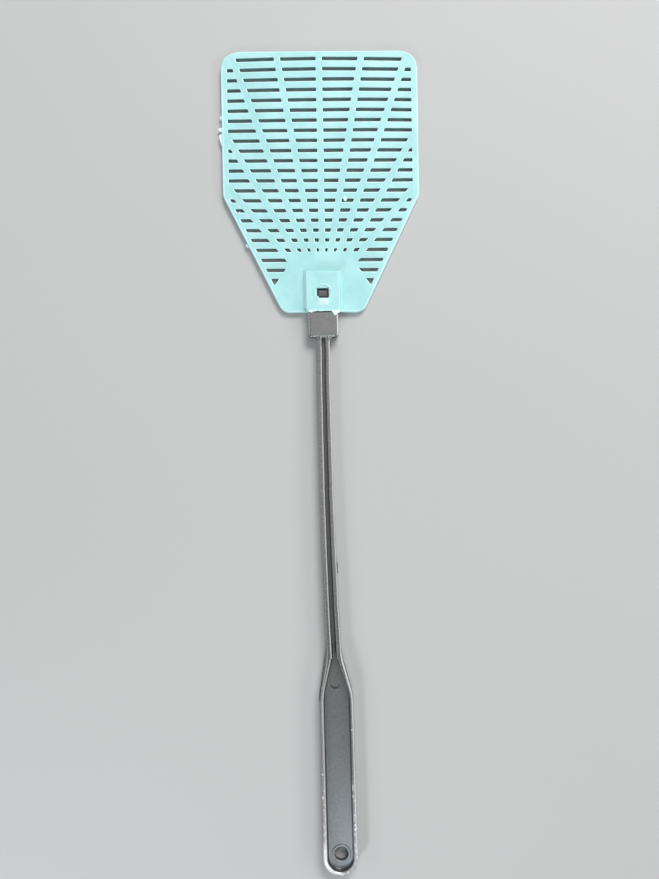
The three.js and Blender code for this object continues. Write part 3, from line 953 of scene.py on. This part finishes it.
def stem_shade(m, below_top):
    """Painted shade in the stem's channel, the gate mark and the gap at the socket."""
    on_stem = m.along("Y", FLARE_FOOT_Y, FLARE_TOP_Y)
    corners = m.span(m.facing("Z"), 0.6, 0.99, 0.95, 0.35)
    # Painted shade in the channel's floor and corners.
    channel = m.times(on_stem, m.span(below_top, 1.0 * MM, 1.6 * MM), corners)
    at_socket = m.along("Y", COLLAR_TOP_Y - 0.55, COLLAR_TOP_Y - 0.25)
    sunk = m.along("Z", WEB_HIGH - 0.1, WEB_HIGH - 0.25)
    gate = m.times(sunk, m.near(GATE_MARK, 3.0, 3.4), 0.8)
    return m.most(channel, at_socket, gate)


def scrapes_and_highlight(m, crest):
    """Pale scuffs and nicks on the grip's rim, heaviest round its end, where the scuffs are partly a
    painted highlight; a painted highlight on the rim's lower-left corner.
    """
    scuffs = m.span(m.noise(520, 5, 0.75), 0.45, 0.68, 0.15, 0.8)
    # Scuffs along the crests towards the end, partly a painted highlight there.
    low_end = m.times(m.along("Y", SHEEN_AND_WEAR_FROM, SHEEN_AND_WEAR_TO), crest, scuffs)
    # Painted highlight on the rim at the grip's lower-left end.
    corner = m.times(m.near((-4, -212, 6), 3, 11, (1.0, 0.7, 1.0)), crest, 0.8)
    nicks = [
        m.near((x, y, GRIP_TOP_Z), 0.5 * size, 1.2 * size, (1, stretch, 0.5))
        for x, y, size, stretch in NICKS
    ]
    return m.most(low_end, corner, *nicks)


def handle_plastic():
    m = Nodes("black_plastic")
    top_z = m.along("Y", COLLAR_FOOT_Y, FLARE_TOP_Y, 5.2 * MM, GRIP_TOP_Z * MM)
    below_top = m.maths("SUBTRACT", top_z, m.axis("Z"))
    crest = m.span(below_top, 0.8 * MM, 0.4 * MM)
    # Painted shade in the channel, gate mark and socket gap; painted sheen and highlights on crests and
    # slopes.
    painted_shade = stem_shade(m, below_top)
    colour = m.blend(painted_shade, sheen_and_highlight_slopes(m, clouded_black(m), crest), CHANNEL_SHADE)
    # Painted shade on the steep walls below the top.
    shaded_walls = m.times(m.span(m.facing("Z"), 0.75, 0.45), m.span(below_top, 0.7 * MM, 1.0 * MM), 0.85)
    colour = m.blend(shaded_walls, colour, WALL_SHADE)
    # Scuffs and nicks, with a painted highlight at the grip's end.
    m.put(m.shader.inputs["Base Color"], m.blend(scrapes_and_highlight(m, crest), colour, SCRAPE_AND_HIGHLIGHT))
    satin = m.span(m.noise(1000, 3, 0.7), 0.3, 0.7, 0.29, 0.40)
    polished = m.maths("SUBTRACT", satin, m.times(crest, 0.10))
    m.put(m.shader.inputs["Roughness"], m.maths("ADD", polished, m.times(painted_shade, 0.3)))
    m.shader.inputs["IOR"].default_value = 1.6
    m.shader.inputs["Specular IOR Level"].default_value = 1.0
    grain = m.bump(m.noise(1500, 3, 0.6), 0.025 * MM, 0.6)
    m.put(m.shader.inputs["Normal"], m.bump(m.noise(150, 2, 0.4), 0.05 * MM, 0.5, grain))
    return m.material


def floor_paper():
    m = Nodes("floor")
    m.put(m.shader.inputs["Base Color"], m.blend(m.noise(3, 2), PAPER, PAPER_LIGHT))
    m.shader.inputs["Roughness"].default_value = 0.8
    m.shader.inputs["Specular IOR Level"].default_value = 0.2
    return m.material


# ---------------------------------------------------------------- stage, light and camera

FLOOR_SIZE, FLOOR_Z = 4, -0.2 * MM
CAMERA_PLACE, CAMERA_TURN = (0.00215, 0.0116, 0.3553), math.radians(-1.035)
CAMERA_LENS, CAMERA_SENSOR = 27.04, 36
WORLD_LIGHT = 0.07


def floor():
    bm = bmesh.new()
    bmesh.ops.create_grid(bm, x_segments=1, y_segments=1, size=FLOOR_SIZE)
    mesh = mesh_from(bm, "floor")
    mesh.materials.append(floor_paper())
    ob = bpy.data.objects.new("floor", mesh)
    ob.location.z = FLOOR_Z
    bpy.context.scene.collection.objects.link(ob)


def soft_light(name, place, width, height, watts, colour=(1, 1, 1)):
    """A rectangular light at a place in metres, turned to the middle of the frame."""
    data = bpy.data.lights.new(name, "AREA")
    data.shape = "RECTANGLE"
    data.size = width
    data.size_y = height
    data.energy = watts
    data.color = colour
    ob = bpy.data.objects.new(name, data)
    ob.location = place
    ob.rotation_euler = (-Vector(place)).to_track_quat("-Z", "Y").to_euler()
    ob.visible_camera = False
    bpy.context.scene.collection.objects.link(ob)


def studio():
    soft_light("key", (0.5, 1.3, 1.0), 0.9, 0.6, 31)
    soft_light("right_strip", (1.25, -0.1, 0.6), 1.8, 0.35, 8)
    soft_light("left_strip", (-1.25, -0.1, 0.6), 1.5, 0.3, 2.6, (0.97, 0.98, 1))
    soft_light("overhead", (0.05, 0.3, 1.7), 0.45, 1.6, 3.8)
    soft_light("near_end", (0.1, -1.3, 1.35), 0.6, 0.6, 6, (0.82, 0.93, 1))
    soft_light("window", (-0.45, -0.75, 0.42), 0.16, 0.16, 3.6, (0.93, 0.97, 1))
    world = bpy.data.worlds.new("studio")
    world.use_nodes = True
    background = world.node_tree.nodes["Background"]
    background.inputs["Color"].default_value = (1, 1, 1, 1)
    background.inputs["Strength"].default_value = WORLD_LIGHT
    bpy.context.scene.world = world


def camera():
    """Straight above, turned a little about its own axis."""
    data = bpy.data.cameras.new("camera")
    data.sensor_width = CAMERA_SENSOR
    data.lens = CAMERA_LENS
    ob = bpy.data.objects.new("camera", data)
    ob.location = CAMERA_PLACE
    ob.rotation_euler = (0, 0, CAMERA_TURN)
    bpy.context.scene.collection.objects.link(ob)
    bpy.context.scene.camera = ob


camera()
floor()
studio()
piece("swatter_head", head_mesh(), "head", "head", head_plastic())
piece("swatter_handle", handle_mesh(), "handle", "handle", handle_plastic())
bpy.context.scene.view_settings.view_transform = "Standard"
